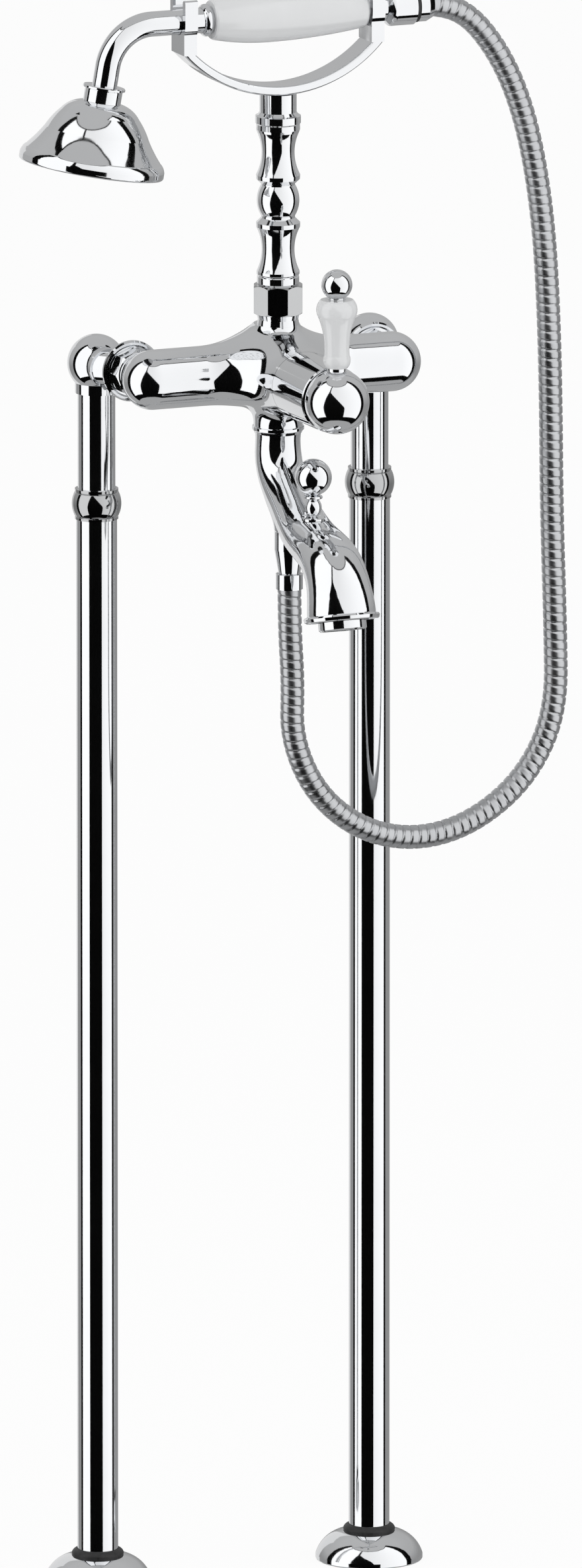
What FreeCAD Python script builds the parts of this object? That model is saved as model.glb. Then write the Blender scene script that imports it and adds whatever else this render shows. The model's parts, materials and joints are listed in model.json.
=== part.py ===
# Floor standing bath filler: two floor columns carry a lever mixer with a swan
# spout, and a cradle on a baluster holds a hand shower on a metal hose.
#
# Origin on the floor, midway between the column axes. +X to the right as the
# bather sees it, -Y towards the bath, +Z up. Millimetres.
import FreeCAD, Part
import math
import os
import Sketcher

V = FreeCAD.Vector
doc = FreeCAD.newDocument("bath_filler")
sheet = doc.addObject("Spreadsheet::Sheet", "Sizes")

DRIVING_SIZES = [
    # floor and columns
    ("plate_od", 54), ("plate_thick", 5), ("screw_gap", 40), ("screw_hole", 5.6),
    ("flange_od", 63), ("flange_high", 17), ("flange_rim", 3), ("flange_wall", 1.2),
    ("seal_od", 31), ("seal_high", 4), ("thread_bore", 18.6), ("thread_long", 12), ("tail_high", 30),
    ("riser_od", 15), ("riser_bore", 13),
    ("lower_od", 24), ("lower_bore", 21.4), ("lower_start", 17), ("upper_od", 22), ("upper_bore", 19.4),
    ("collar_od", 29), ("collar_high", 18), ("collar_drop", 83.5), ("collar_step", 3), ("tube_play", 0.05),
    # elbows and unions
    ("mixer_level", 730.5), ("elbow_ball", 34), ("elbow_neck", 25), ("elbow_drop", 17.5),
    ("socket_deep", 7), ("riser_deep", 9), ("snout_od", 23), ("snout_reach", 19), ("tail_offset", 10),
    ("inlet_gap", 152), ("tail_od", 20), ("water_bore", 12), ("ring_od", 36), ("ring_thick", 3.6),
    ("ring_reach", 28.6), ("union_corner", 28.6), ("union_long", 11.5), ("washer_thick", 1.5), ("nut_bevel", 1.4),
    # mixer body
    ("arm_reach", 60), ("arm_od", 35), ("boss_od", 25), ("centre_ahead", 10), ("top_boss_od", 24.6),
    ("top_boss_high", 29.5), ("flare_half", 46), ("spout_boss_od", 28.6), ("spout_boss_drop", 30.5),
    ("hub_od", 40), ("hub_root_od", 47), ("hub_long", 50), ("cartridge_od", 30), ("cartridge_long", 36),
    ("cartridge_deep", 28), ("outlet_bore", 15),
    # lever
    ("seam_gap", 0.3), ("cover_wall", 2.5), ("web_thick", 3), ("dome_od", 38), ("dome_ahead", 51),
    ("dome_wall", 2.4), ("seat_gap", 0.3), ("lip_back", 6), ("bowl_hole", 26), ("stem_od", 12), ("stem_tip", 7),
    ("pivot_od", 3), ("grip_long", 40.2), ("grip_swell", 23.4), ("grip_waist", 15), ("grip_foot", 12.6),
    ("lever_ball_od", 18), ("lever_rod", 5), ("lever_screw_od", 4),
    # spout and diverter
    ("collar_ring_od", 30.4), ("collar_ring_high", 4.2), ("spigot_high", 8), ("neck_od", 27),
    ("spout_waist", 26.4), ("mouth_od", 40), ("mouth_ahead", 98.6), ("mouth_drop", 126), ("mouth_tilt", 14),
    ("lip_od", 44.6), ("lip_high", 4), ("spout_wall", 2), ("aerator_od", 28), ("aerator_drop", 8),
    ("aerator_long", 17), ("knob_ahead", 54.6), ("knob_drop", 51.5), ("knob_od", 21.6), ("knob_stem", 9.8),
    ("rod_od", 4), ("rod_gap", 0.3), ("plug_od", 15), ("plug_drop", 96.5), ("gland_od", 13),
    ("gland_drop", 75.1), ("gland_flange", 2.6), ("gland_deep", 11.4),
    # shower outlet and hose
    ("outlet_ahead", 17.5), ("outlet_drop", 89.5), ("outlet_stub", 13), ("stub_long", 8),
    ("hose_nut_od", 17.4), ("hose_nut_long", 26), ("hose_nut_tip", 12.6), ("hose_od", 14), ("hose_root", 12.2),
    ("hose_bore", 8), ("ferrule_od", 15.8), ("ferrule_long", 9), ("rib_count", 120),
    # support of the hand shower
    ("top_ring_high", 6.6), ("top_nut_corner", 30.6), ("top_nut_high", 17), ("baluster_od", 24.6),
    ("baluster_waist", 19.8), ("baluster_high", 102.2), ("baluster_ring_od", 26.6), ("support_neck_od", 21.6),
    ("support_neck_high", 11), ("strip_radius", 84), ("strip_thick", 5.4), ("strip_deep", 20),
    ("ear_gap", 117.4), ("ear_thick", 8), ("ear_od", 23.6), ("prong_rise", 12), ("saddle_gap", 0.35),
    # hand shower
    ("shower_rise", 46.2), ("arm_tube_od", 14.6), ("arm_tube_bore", 11.6), ("arm_bend", 28),
    ("arm_drop_turn", 80), ("arm_straight", 30.6), ("arm_down", 14), ("bead_od", 18.6), ("bead_long", 6),
    ("shower_grip_half", 42.4), ("shower_grip_long", 95.9), ("shower_grip_od", 31), ("shower_grip_end", 21.6),
    ("neck_end_long", 13), ("upper_nut_od", 22.6), ("upper_nut_long", 17), ("hose_ring_od", 20.4),
    ("hose_ring_long", 2.6), ("upper_ferrule_od", 20), ("upper_ferrule_long", 9),
    ("rose_od", 85), ("rose_high", 39.5), ("rose_neck_od", 24.8), ("rose_nut_high", 9.5), ("rose_wall", 2),
    ("rose_rim", 4.2), ("rose_lip", 8), ("spray_inset", 1.9), ("spray_thick", 2.25), ("nozzle_od", 2.4),
    ("nozzle_high", 1.6),
]


class Dim:
    """A size with its number and the sheet expression that it comes from."""

    def __init__(self, value, text):
        self.value = value
        self.text = text

    def joined(self, other, sign, value, swap=False):
        texts = [self.text, other.text if isinstance(other, Dim) else repr(float(other))]
        if swap:
            texts.reverse()
        return Dim(value, "(" + sign.join(texts) + ")")

    def __add__(self, other):
        return self.joined(other, " + ", self.value + number(other))

    def __radd__(self, other):
        return self.joined(other, " + ", number(other) + self.value, True)

    def __sub__(self, other):
        return self.joined(other, " - ", self.value - number(other))

    def __rsub__(self, other):
        return self.joined(other, " - ", number(other) - self.value, True)

    def __mul__(self, other):
        return self.joined(other, " * ", self.value * number(other))

    def __rmul__(self, other):
        return self.joined(other, " * ", number(other) * self.value, True)

    def __truediv__(self, other):
        return self.joined(other, " / ", self.value / number(other))

    def __neg__(self):
        return Dim(-self.value, "(0 - " + self.text + ")")


def number(size):
    return size.value if isinstance(size, Dim) else float(size)


def root(size):
    return Dim(math.sqrt(size.value), "sqrt(" + size.text + ")")


def sine(angle):
    return Dim(math.sin(math.radians(angle.value)), "sin(" + angle.text + ")")


def cosine(angle):
    return Dim(math.cos(math.radians(angle.value)), "cos(" + angle.text + ")")


class Sizes:
    """The sheet's cells as Dim values, such as S.column_gap."""


S = Sizes()
for row, (alias, value) in enumerate(DRIVING_SIZES, start=1):
    cell = "B%d" % row
    sheet.set("A%d" % row, alias)
    sheet.set(cell, str(value))
    sheet.setAlias(cell, alias)
    setattr(S, alias, Dim(float(value), "Sizes." + alias))
doc.recompute()

# places that follow from the sizes
S.column_gap = S.inlet_gap + S.tail_offset * 2
S.arm_span = S.inlet_gap - 2
S.centre_reach = S.arm_reach + S.centre_ahead
S.seam_reach = S.arm_reach + S.hub_long
S.cartridge_floor = S.seam_reach - S.cartridge_deep
S.dome_reach = S.seam_reach + S.dome_ahead
S.mouth_reach = S.centre_reach + S.mouth_ahead
S.knob_reach = S.centre_reach + S.knob_ahead
S.outlet_reach = S.centre_reach + S.outlet_ahead
S.collar_level = S.mixer_level - S.collar_drop
S.upper_top = S.mixer_level - S.elbow_drop + S.socket_deep
S.riser_top = S.mixer_level - S.elbow_drop + S.riser_deep
S.mouth_level = S.mixer_level - S.mouth_drop
S.knob_level = S.mixer_level - S.knob_drop
S.plug_level = S.mixer_level - S.plug_drop
S.gland_level = S.mixer_level - S.gland_drop
S.gland_seat_level = S.gland_level - S.gland_deep
S.outlet_level = S.mixer_level - S.outlet_drop
S.top_nut_level = S.mixer_level + S.top_boss_high + S.top_ring_high
S.cradle_level = S.top_nut_level + S.top_nut_high + S.baluster_high + S.support_neck_high
S.shower_level = S.cradle_level + S.shower_rise
S.bead_start = S.shower_grip_half + S.bead_long
S.arm_straight_end = S.bead_start + S.arm_straight

# directions that a piece's own +Z can point in
UP = FreeCAD.Rotation()
DOWN = FreeCAD.Rotation(V(1, 0, 0), 180)
FORWARD = FreeCAD.Rotation(V(1, 0, 0), 90)
BACK = FreeCAD.Rotation(V(1, 0, 0), -90)
RIGHT = FreeCAD.Rotation(V(0, 1, 0), 90)
LEFT = FreeCAD.Rotation(V(0, 1, 0), -90)
SIDES = (("left", -1), ("right", 1))
parts = {}


def bind(thing, name, size):
    """Give a property its number and, where it has one, its expression."""
    if isinstance(size, Dim):
        thing.setExpression(name, size.text)
    elif hasattr(thing, name):
        setattr(thing, name, size)


def place(thing, x=0, y=0, z=0, turn=UP):
    thing.Placement = FreeCAD.Placement(V(number(x), number(y), number(z)), turn)
    for axis, size in zip("xyz", (x, y, z)):
        bind(thing, "Placement.Base." + axis, size)
    return thing


def keep(thing, label):
    """Enter a finished sub-part under the name of its file."""
    thing.Label = label
    parts[label] = thing
    return thing


def made(kind, x=0, y=0, z=0, turn=UP, **sizes):
    """A Part primitive with bound sizes, in its place."""
    thing = doc.addObject("Part::" + kind, kind)
    for name, size in sizes.items():
        bind(thing, name, size)
    return place(thing, x, y, z, turn)


def rod(radius, length, x=0, y=0, z=0, turn=UP):
    return made("Cylinder", x, y, z, turn, Radius=radius, Height=length)


def fused(*pieces):
    union = doc.addObject("Part::MultiFuse", "Fusion")
    union.Shapes = list(pieces)
    union.Refine = True
    return union


def cut(base, *tools):
    """The base without all the tools."""
    result = doc.addObject("Part::Cut", "Cut")
    result.Base = base
    result.Tool = tools[0] if len(tools) == 1 else fused(*tools)
    return result


def common(one, two):
    result = doc.addObject("Part::Common", "Common")
    result.Base = one
    result.Tool = two
    return result


def out(radius):
    """An outline's arc that swells outwards."""
    return (1, radius)


def hollow(radius):
    """An outline's arc that curves inwards."""
    return (-1, radius)


def outline_edges(points):
    """Lines and arcs round the points, and which end of each is its start."""
    edges, starts, arcs = [], [], []
    for index, point in enumerate(points):
        after = points[(index + 1) % len(points)]
        first = V(number(point[0]), number(point[1]), 0)
        last = V(number(after[0]), number(after[1]), 0)
        if len(point) < 3:
            edges.append(Part.LineSegment(first, last))
            starts.append(1)
            continue
        side, radius = point[2]
        chord = last - first
        left = V(-chord.y, chord.x, 0) / chord.Length
        reach = math.sqrt(number(radius) ** 2 - chord.Length ** 2 / 4)
        centre = (first + last) / 2 + left * reach * side
        begin, end = (first, last) if side > 0 else (last, first)
        circle = Part.Circle(centre, V(0, 0, 1), number(radius))
        start = math.atan2(begin.y - centre.y, begin.x - centre.x)
        stop = math.atan2(end.y - centre.y, end.x - centre.x)
        edges.append(Part.ArcOfCircle(circle, start, stop if stop > start else stop + 2 * math.pi))
        starts.append(1 if side > 0 else 2)
        arcs.append((index, radius))
    return edges, starts, arcs


def drawn(body, points):
    """A closed sketch on the body's XZ plane, each corner bound to the sheet."""
    plane = [feature for feature in body.Origin.OriginFeatures if feature.Role == "XZ_Plane"][0]
    sketch = body.newObject("Sketcher::SketchObject", "Outline")
    sketch.AttachmentSupport = (plane, [""])
    sketch.MapMode = "FlatFace"
    edges, starts, arcs = outline_edges(points)
    sketch.addGeometry(edges, False)
    for index, start in enumerate(starts):
        after = (index + 1) % len(points)
        sketch.addConstraint(Sketcher.Constraint("Coincident", index, 3 - start, after, starts[after]))
    for index, point in enumerate(points):
        for kind, axis, size in (("DistanceX", -2, point[0]), ("DistanceY", -1, point[1])):
            if number(size) == 0:
                sketch.addConstraint(Sketcher.Constraint("PointOnObject", index, starts[index], axis))
                continue
            made_at = sketch.addConstraint(
                Sketcher.Constraint(kind, -1, 1, index, starts[index], number(size)))
            bind(sketch, "Constraints[%d]" % made_at, size)
    for index, radius in arcs:
        made_at = sketch.addConstraint(Sketcher.Constraint("Radius", index, number(radius)))
        bind(sketch, "Constraints[%d]" % made_at, radius)
    return sketch


def turned(points, x=0, y=0, z=0, turn=UP):
    """A body of revolution: points are (radius, height), counter-clockwise."""
    body = doc.addObject("PartDesign::Body", "Turned")
    sketch = drawn(body, points)
    spin = body.newObject("PartDesign::Revolution", "Spin")
    spin.Profile = sketch
    spin.ReferenceAxis = (sketch, ["V_Axis"])
    spin.Angle = 360
    return place(body, x, y, z, turn)


def tube(outer, inner, length, x=0, y=0, z=0, turn=UP):
    return turned([(inner, 0), (outer, 0), (outer, length), (inner, length)], x, y, z, turn)


def nut(corner, height, bore, bevel, sides=8, spin=0.0):
    """A faceted nut standing on the origin, its corners turned off at both ends."""
    blank = turned([(bore, 0), (corner - bevel, 0), (corner, bevel), (corner, height - bevel),
                    (corner - bevel, height), (bore, height)])
    prism = made("Prism", turn=FreeCAD.Rotation(V(0, 0, 1), spin), Circumradius=corner, Height=height)
    prism.Polygon = sides
    return common(blank, prism)


def lofted(rings):
    """A smooth solid through ellipses: (half width in X, half depth, x, y, z, turn)."""
    loft = doc.addObject("Part::Loft", "Loft")
    sections = []
    for wide, deep, x, y, z, turn in rings:
        ring = made("Ellipse", x, y, z, turn, MajorRadius=wide, MinorRadius=deep)
        sections.append(ring)
    loft.Sections = sections
    loft.Solid = True
    return loft


# ---- columns -------------------------------------------------------------
def floor_end(side, name):
    x = S.column_gap / 2 * side
    tail_r = S.lower_od / 2
    tail_bore = S.riser_bore / 2 - 0.5
    socket_r = S.riser_od / 2 + S.tube_play
    plate = tube(S.plate_od / 2, tail_r + S.tube_play, S.plate_thick, x)
    holes = [rod(S.screw_hole / 2, S.plate_thick * 3, x, S.screw_gap / 2 * way, -S.plate_thick)
             for way in (-1, 1)]
    keep(cut(plate, *holes), "base_plate_" + name)
    spigot_r = S.lower_bore / 2 - S.tube_play
    keep(turned([(S.thread_bore / 2, 0), (tail_r, 0), (tail_r, S.lower_start),
                 (spigot_r, S.lower_start), (spigot_r, S.tail_high), (socket_r, S.tail_high),
                 (socket_r, S.thread_long + 3), (tail_bore, S.thread_long + 3),
                 (tail_bore, S.thread_long), (S.thread_bore / 2, S.thread_long)], x),
         "inlet_tail_" + name)
    keep(tube(S.riser_od / 2, S.riser_bore / 2, S.riser_top - S.thread_long - 3.2,
              x, 0, S.thread_long + 3.2), "riser_pipe_" + name)
    # the domed cover stands on the floor and closes on the rubber ring
    rim_r = S.flange_od / 2
    neck_r = S.lower_od / 2 + 0.3
    wall = S.flange_wall
    shoulder_r = S.seal_od / 2
    dome_high = S.flange_high - S.flange_rim
    bow = (dome_high * dome_high + (rim_r - shoulder_r) * (rim_r - shoulder_r)) / (rim_r * 0.72)
    keep(turned([(rim_r - wall, 0), (rim_r - wall * 0.4, 0), (rim_r, wall * 0.6),
                 (rim_r, S.flange_rim, out(bow)), (shoulder_r, S.flange_high),
                 (neck_r, S.flange_high), (neck_r, S.flange_high - wall),
                 (shoulder_r - wall * 0.4, S.flange_high - wall, hollow(bow)),
                 (rim_r - wall, S.flange_rim)], x), "floor_flange_" + name)
    keep(turned([(tail_r + S.tube_play, 0), (shoulder_r - 0.4, 0),
                 (shoulder_r - 0.2, S.seal_high * 0.35, out(S.seal_high)),
                 (tail_r + 0.6, S.seal_high), (tail_r + S.tube_play, S.seal_high)],
                x, 0, S.flange_high), "flange_ring_" + name)


def column(side, name):
    x = S.column_gap / 2 * side
    bottom = S.collar_level - S.collar_high / 2
    joint = S.collar_level - S.collar_step / 2
    lower_r, upper_r = S.lower_od / 2, S.upper_od / 2
    keep(tube(lower_r, S.lower_bore / 2, joint - S.lower_start, x, 0, S.lower_start),
         "column_lower_" + name)
    keep(tube(upper_r, S.upper_bore / 2, S.upper_top - joint - S.collar_step, x, 0,
              joint + S.collar_step), "column_upper_" + name)
    # a barrel bead between two thin flat rings
    lip_r = lower_r + 0.7
    base_r = lip_r + 0.3
    swell = S.collar_od / 2 - base_r
    step_low = (S.collar_high - S.collar_step) / 2
    step_high = (S.collar_high + S.collar_step) / 2
    lower_hole, upper_hole = lower_r + S.tube_play, upper_r + S.tube_play
    inside = S.lower_bore / 2 - 1.2
    bead = S.collar_high * 0.37
    groove_r = lip_r - 0.3
    keep(turned([(lower_hole, 0), (lip_r, 0), (lip_r, 1.5), (groove_r, 1.9),
                 (base_r, S.collar_high / 2 - bead, out((bead * bead + swell * swell) * 0.5 / swell)),
                 (base_r, S.collar_high / 2 + bead), (groove_r, S.collar_high - 1.9),
                 (lip_r, S.collar_high - 1.5), (lip_r, S.collar_high), (upper_hole, S.collar_high),
                 (upper_hole, step_high), (inside, step_high), (inside, step_low),
                 (lower_hole, step_low)], x, 0, bottom), "column_collar_" + name)


def elbow_and_union(side, name):
    x = S.column_gap / 2 * side
    inlet_x = S.inlet_gap / 2 * side
    z = S.mixer_level
    ball_r = S.elbow_ball / 2
    bore = S.water_bore / 2
    ball = made("Sphere", x, 0, z, Radius=ball_r)
    neck = rod(S.elbow_neck / 2, S.elbow_drop, x, 0, z - S.elbow_drop)
    snout = rod(S.snout_od / 2, S.snout_reach, x, 0, z, FORWARD)
    socket = rod(S.upper_od / 2 + S.tube_play, S.socket_deep + 1.1, x, 0, z - S.elbow_drop - 1)
    pipe_way = rod(S.riser_od / 2 + S.tube_play, S.riser_deep + 0.1, x, 0, z - S.elbow_drop)
    up_way = rod(bore, S.elbow_drop, x, 0, z - S.elbow_drop)
    turn_way = made("Sphere", x, 0, z, Radius=bore)
    front_way = rod(bore, S.snout_reach + 1, x, 0, z, FORWARD)
    keep(cut(fused(ball, neck, snout), socket, pipe_way, up_way, turn_way, front_way), "elbow_" + name)
    # the tail steps sideways from the column's axis to the inlet's axis
    tail_r = S.tail_od / 2
    body_back = S.arm_reach - S.arm_od / 2
    straight = body_back - S.washer_thick - S.ring_reach
    shapes = []
    for radius, reach, extra in ((tail_r, 0, 0), (bore, 0.5, 1)):
        step = doc.addObject("Part::Loft", "Step")
        step.Sections = [made("Circle", x, -S.snout_reach + reach, z, FORWARD, Radius=radius),
                         made("Circle", inlet_x, -S.ring_reach - reach, z, FORWARD, Radius=radius)]
        step.Solid = True
        step.Ruled = True
        shapes.append(fused(step, rod(radius, straight + extra, inlet_x, -S.ring_reach, z, FORWARD)))
    keep(cut(*shapes), "union_tail_" + name)
    ring_r, ring_thick = S.ring_od / 2, S.ring_thick
    keep(turned([(tail_r + S.tube_play, 0), (ring_r - 0.8, 0), (ring_r, 0.8), (ring_r, ring_thick - 1.2),
                 (ring_r - 1, ring_thick - 0.3), (ring_r - 2.4, ring_thick - 0.6),
                 (ring_r - 3.4, ring_thick - 1.4), (tail_r + S.tube_play, ring_thick - 1.4)],
                inlet_x, -S.ring_reach, z, FORWARD), "union_ring_" + name)
    face = nut(S.union_corner / 2, S.union_long, tail_r + S.tube_play, S.nut_bevel)
    nut_start = S.ring_reach + S.ring_thick - 1.3
    keep(place(cut(face, rod(S.boss_od / 2 + S.tube_play, S.union_long, 0, 0,
                             body_back - S.washer_thick - nut_start - 0.1)),
               inlet_x, -nut_start, z, FORWARD), "union_nut_" + name)
    keep(tube(tail_r, bore, S.washer_thick - 0.1, inlet_x, 0.05 - body_back + S.washer_thick - 0.05, z,
              FORWARD), "inlet_washer_" + name)


# ---- mixer ---------------------------------------------------------------
def mixer_body():
    z = S.mixer_level
    reach = S.arm_reach
    arm_r = S.arm_od / 2
    half = S.arm_span / 2
    flare, top_r, low_r = S.flare_half, S.top_boss_od / 2, S.spout_boss_od / 2
    # along X the round arms swell up in an arc to the seat of the shower support
    rise, spread = S.top_boss_high - arm_r, flare - top_r
    bend = (rise * rise + spread * spread) * 0.5 / rise
    forward = S.centre_reach - reach
    upright = FreeCAD.Rotation(V(0, 0, 1), V(0, -1, 0), V(1, 0, 0), "XYZ")
    slope = spread / (bend - rise)
    swollen = [(top_r * 0.5, rise + slope * top_r * 0.375, forward * 0.5)]
    for step in range(6):
        along = spread * (1 - step / 6)
        lift = bend - root(bend * bend - along * along)
        swollen.append((flare - along, lift, forward * 0.5 * (1 - step / 6)))
    for step in range(6):
        swollen.append((flare + (half - flare) * (step / 5), 0, 0))
    crown = [(0, rise + slope * top_r * 0.5, forward * 0.5)]
    left = [(-x, lift, ahead) for x, lift, ahead in reversed(swollen)]
    rings = [(arm_r + lift * 0.5, arm_r + lift * 0.12, x, -reach - ahead, z + lift * 0.5, upright)
             for x, lift, ahead in left + crown + swollen]
    core = [lofted(rings), rod(top_r, S.top_boss_high, 0, -S.centre_reach, z)]
    for name, side in SIDES:
        outwards = LEFT if side < 0 else RIGHT
        core.append(made("Sphere", half * side, -reach, z, outwards, Radius=arm_r, Angle1=0))
        core.append(rod(S.boss_od / 2, arm_r, S.inlet_gap / 2 * side, -reach, z, BACK))
    drop = S.spout_boss_drop
    core.append(turned([(0, -drop), (low_r, -drop), (low_r, -drop * 0.78, hollow(drop * 0.3)),
                        (low_r * 1.5, -drop * 0.48), (low_r * 1.5, -drop * 0.3), (0, -drop * 0.3)],
                       0, -S.centre_reach, z))
    hub_r, root_r = S.hub_od / 2, S.hub_root_od / 2
    hub_long = S.seam_reach - reach
    core.append(turned([(0, 0), (root_r, 0), (root_r, hub_long * 0.26, hollow(hub_long * 0.8)),
                        (hub_r, hub_long * 0.66), (hub_r, hub_long), (0, hub_long)],
                       0, -reach, z, FORWARD))
    bore = S.water_bore / 2
    pit = S.seam_reach - S.cartridge_floor
    ways = [rod(S.cartridge_od / 2 + S.tube_play, pit + 1, 0, -S.cartridge_floor, z, FORWARD),
            rod(bore, S.inlet_gap, S.inlet_gap / 2, -reach, z, LEFT),
            rod(bore * 0.8, S.cartridge_floor - reach + 1, 0, -reach, z, FORWARD),
            rod(S.outlet_bore / 2, drop + 1 + bore * 0.4, 0, -S.centre_reach, z - drop - 1)]
    for name, side in SIDES:
        ways.append(rod(bore, arm_r + 1, S.inlet_gap / 2 * side, -reach, z, BACK))
        ways.append(made("Sphere", S.inlet_gap / 2 * side, -reach, z, Radius=bore))
    above = S.top_boss_high * 0.5
    ways.append(rod(top_r * 2, above, 0, -S.centre_reach, z + S.top_boss_high))
    keep(cut(fused(*core), *ways), "mixer_body")


def cartridge():
    """Fixed plastic body with its disc and nut, and the stem that the lever turns."""
    z = S.mixer_level
    r, floor = S.cartridge_od / 2, S.cartridge_floor
    port, stem_r = S.water_bore / 2, S.stem_od / 2
    nose_r, skin = r - 4, 1.6
    nose_at = S.cartridge_long * 0.72
    keep(turned([(port, 0), (r, 0), (r, nose_at), (nose_r, nose_at), (nose_r, S.cartridge_long),
                 (stem_r + 0.3, S.cartridge_long), (stem_r + 0.3, S.cartridge_long - skin),
                 (nose_r - skin, S.cartridge_long - skin), (nose_r - skin, 6), (port, 6)],
                0, -floor, z, FORWARD), "cartridge_body")
    disc_at, disc_thick = floor + 6.05, 3
    keep(tube(nose_r - skin - 0.1, port - 2, disc_thick, 0, -disc_at, z, FORWARD), "ceramic_disc")
    stem_at = disc_at + disc_thick + 0.3
    web_reach = floor + S.cartridge_long + 0.05
    neck_at = web_reach + S.web_thick - stem_at
    tip_r = S.stem_tip / 2
    shaft = turned([(0, 0), (nose_r - skin - 0.3, 0), (nose_r - skin - 0.3, 3), (stem_r, 3),
                    (stem_r, neck_at), (tip_r, neck_at + 1), (tip_r, S.dome_reach - stem_at),
                    (0, S.dome_reach - stem_at)], 0, -stem_at, z, FORWARD)
    eye = rod(tip_r + 1.2, S.stem_tip * 0.8, -S.stem_tip * 0.4, -S.dome_reach, z, RIGHT)
    hole = rod(S.pivot_od / 2 + S.rod_gap, S.stem_tip * 2, -S.stem_tip, -S.dome_reach, z, RIGHT)
    keep(cut(fused(shaft, eye), hole), "cartridge_stem")
    nut_at = nose_at + 0.05
    keep(place(nut(r - 0.1, S.seam_reach - floor - nut_at + 8, nose_r + S.tube_play, 0.8, 6),
               0, -floor - nut_at, z, FORWARD), "cartridge_nut")


def lever():
    z, reach = S.mixer_level, S.dome_reach
    dome_r = S.dome_od / 2
    seat_r = dome_r + S.seat_gap
    start = S.seam_reach + S.seam_gap
    hub_r, mouth_r = S.hub_od / 2, dome_r + 0.5
    lip_back, bowl_r = S.lip_back, S.bowl_hole / 2
    lip_at = reach - start - lip_back
    lip_in = root(seat_r * seat_r - lip_back * lip_back)
    bowl_at = reach - start - root(seat_r * seat_r - bowl_r * bowl_r)
    inner_r = hub_r - S.cover_wall
    web_at = S.cartridge_floor + S.cartridge_long + 0.05 - start
    screw_r = S.lever_screw_od / 2
    screw_at = start + lip_at - S.lever_screw_od * 0.8
    cover = turned([(inner_r, 0), (hub_r, 0), (hub_r, 2), (mouth_r, lip_at - 0.6),
                    (mouth_r - 0.6, lip_at), (lip_in, lip_at, hollow(seat_r)), (bowl_r, bowl_at),
                    (bowl_r, web_at + S.web_thick),
                    (S.stem_od / 2 + S.rod_gap, web_at + S.web_thick),
                    (S.stem_od / 2 + S.rod_gap, web_at), (inner_r, web_at)], 0, -start, z, FORWARD)
    keep(cut(cover, rod(screw_r + S.tube_play, hub_r, 0, -screw_at, z, DOWN)), "lever_cover")
    screw_top = dome_r - 1.4
    keep(tube(screw_r, screw_r * 0.45, hub_r - screw_top - 0.8, 0, -screw_at, z - screw_top, DOWN),
         "lever_screw")
    # the dome is a ball shell that rocks on a pin through the stem's eye
    seat_top = dome_r + 1
    shell = fused(made("Sphere", 0, -reach, z, Radius=dome_r),
                  rod(S.grip_foot / 2 - 0.7, seat_top, 0, -reach, z))
    hollowed = cut(shell, made("Sphere", 0, -reach, z, Radius=dome_r - S.dome_wall),
                   rod(bowl_r, S.dome_od, 0, -reach, z, BACK),
                   rod(S.lever_rod / 2 + S.tube_play, S.dome_od, 0, -reach, z))
    pin_half = dome_r - S.dome_wall / 2
    keep(fused(hollowed, rod(S.pivot_od / 2, pin_half * 2, -pin_half, -reach, z, RIGHT)), "lever_dome")
    grip_at = seat_top + 0.05
    tall = S.grip_long
    hole_r = S.lever_rod / 2 + S.tube_play
    keep(turned([(hole_r, 0), (S.grip_foot / 2, 0, out(tall * 0.17)),
                 (S.grip_waist / 2, tall * 0.18, hollow(tall * 1.2)),
                 (S.grip_swell / 2 - 0.9, tall * 0.74, out(tall * 0.22)), (S.grip_swell / 2 - 2.2, tall),
                 (hole_r, tall)], 0, -reach, z + grip_at), "lever_grip")
    ball_r = S.lever_ball_od / 2
    foot_r = ball_r * 0.56
    foot = root(ball_r * ball_r - foot_r * foot_r)
    foot_high = 1.2
    ball_at = grip_at + tall + foot + foot_high + 0.05
    rod_long = ball_at - dome_r + S.dome_wall - 0.4
    keep(turned([(0, 0), (S.lever_rod / 2, 0), (S.lever_rod / 2, rod_long - foot - foot_high),
                 (foot_r, rod_long - foot - foot_high), (foot_r, rod_long - foot, out(ball_r)),
                 (0, rod_long + ball_r)], 0, -reach, z + ball_at - rod_long), "lever_ball")


# ---- spout and diverter --------------------------------------------------
def spout_rings(thinner):
    """The spout's sections from the neck to the mouth, drawn in by a wall."""
    neck, mouth = S.neck_od / 2 - thinner, S.mouth_od / 2 - thinner
    top = S.mixer_level - S.spout_boss_drop - S.collar_ring_high
    out_at, end_at, end_level = S.centre_reach, S.mouth_reach, S.mouth_level
    run, fall = end_at - out_at, top - end_level
    middle = S.spout_waist / 2 - thinner
    # share of the run, share of the fall, slope below level, half width, half depth
    stations = [(0.0, 0.13, 89, neck, neck), (0.055, 0.27, 62, neck + 0.2, neck),
                (0.22, 0.42, 35, (neck + middle) / 2 + 0.4, (neck + middle) / 2),
                (0.49, 0.575, 23, middle + 3, middle), (0.70, 0.63, 21, middle + 3.8, middle + 1.2),
                (0.855, 0.70, 38, middle + 4.6, middle + 3.4),
                (0.945, 0.81, 58, mouth - 1.4, mouth - 1.8), (0.99, 0.945, 72, mouth - 0.1, mouth - 0.2)]
    rings = [(neck, neck, 0, -out_at, top - (0 if number(thinner) == 0 else S.spout_wall * 2), DOWN)]
    for across, down, slope, wide, deep in stations:
        rings.append((wide, deep, 0, -out_at - run * across, top - fall * down,
                      FreeCAD.Rotation(V(1, 0, 0), 90 + slope)))
    if number(thinner) == 0:
        rings.append((mouth, mouth, 0, -end_at, end_level, mouth_turn()))
    return rings


def mouth_turn():
    return FreeCAD.Rotation(V(1, 0, 0), 180 - number(S.mouth_tilt))


def mouth_point(drop):
    """A point of the mouth's axis, that far below the mouth's plane."""
    return (-S.mouth_reach - sine(S.mouth_tilt) * drop, S.mouth_level - cosine(S.mouth_tilt) * drop)


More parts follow.
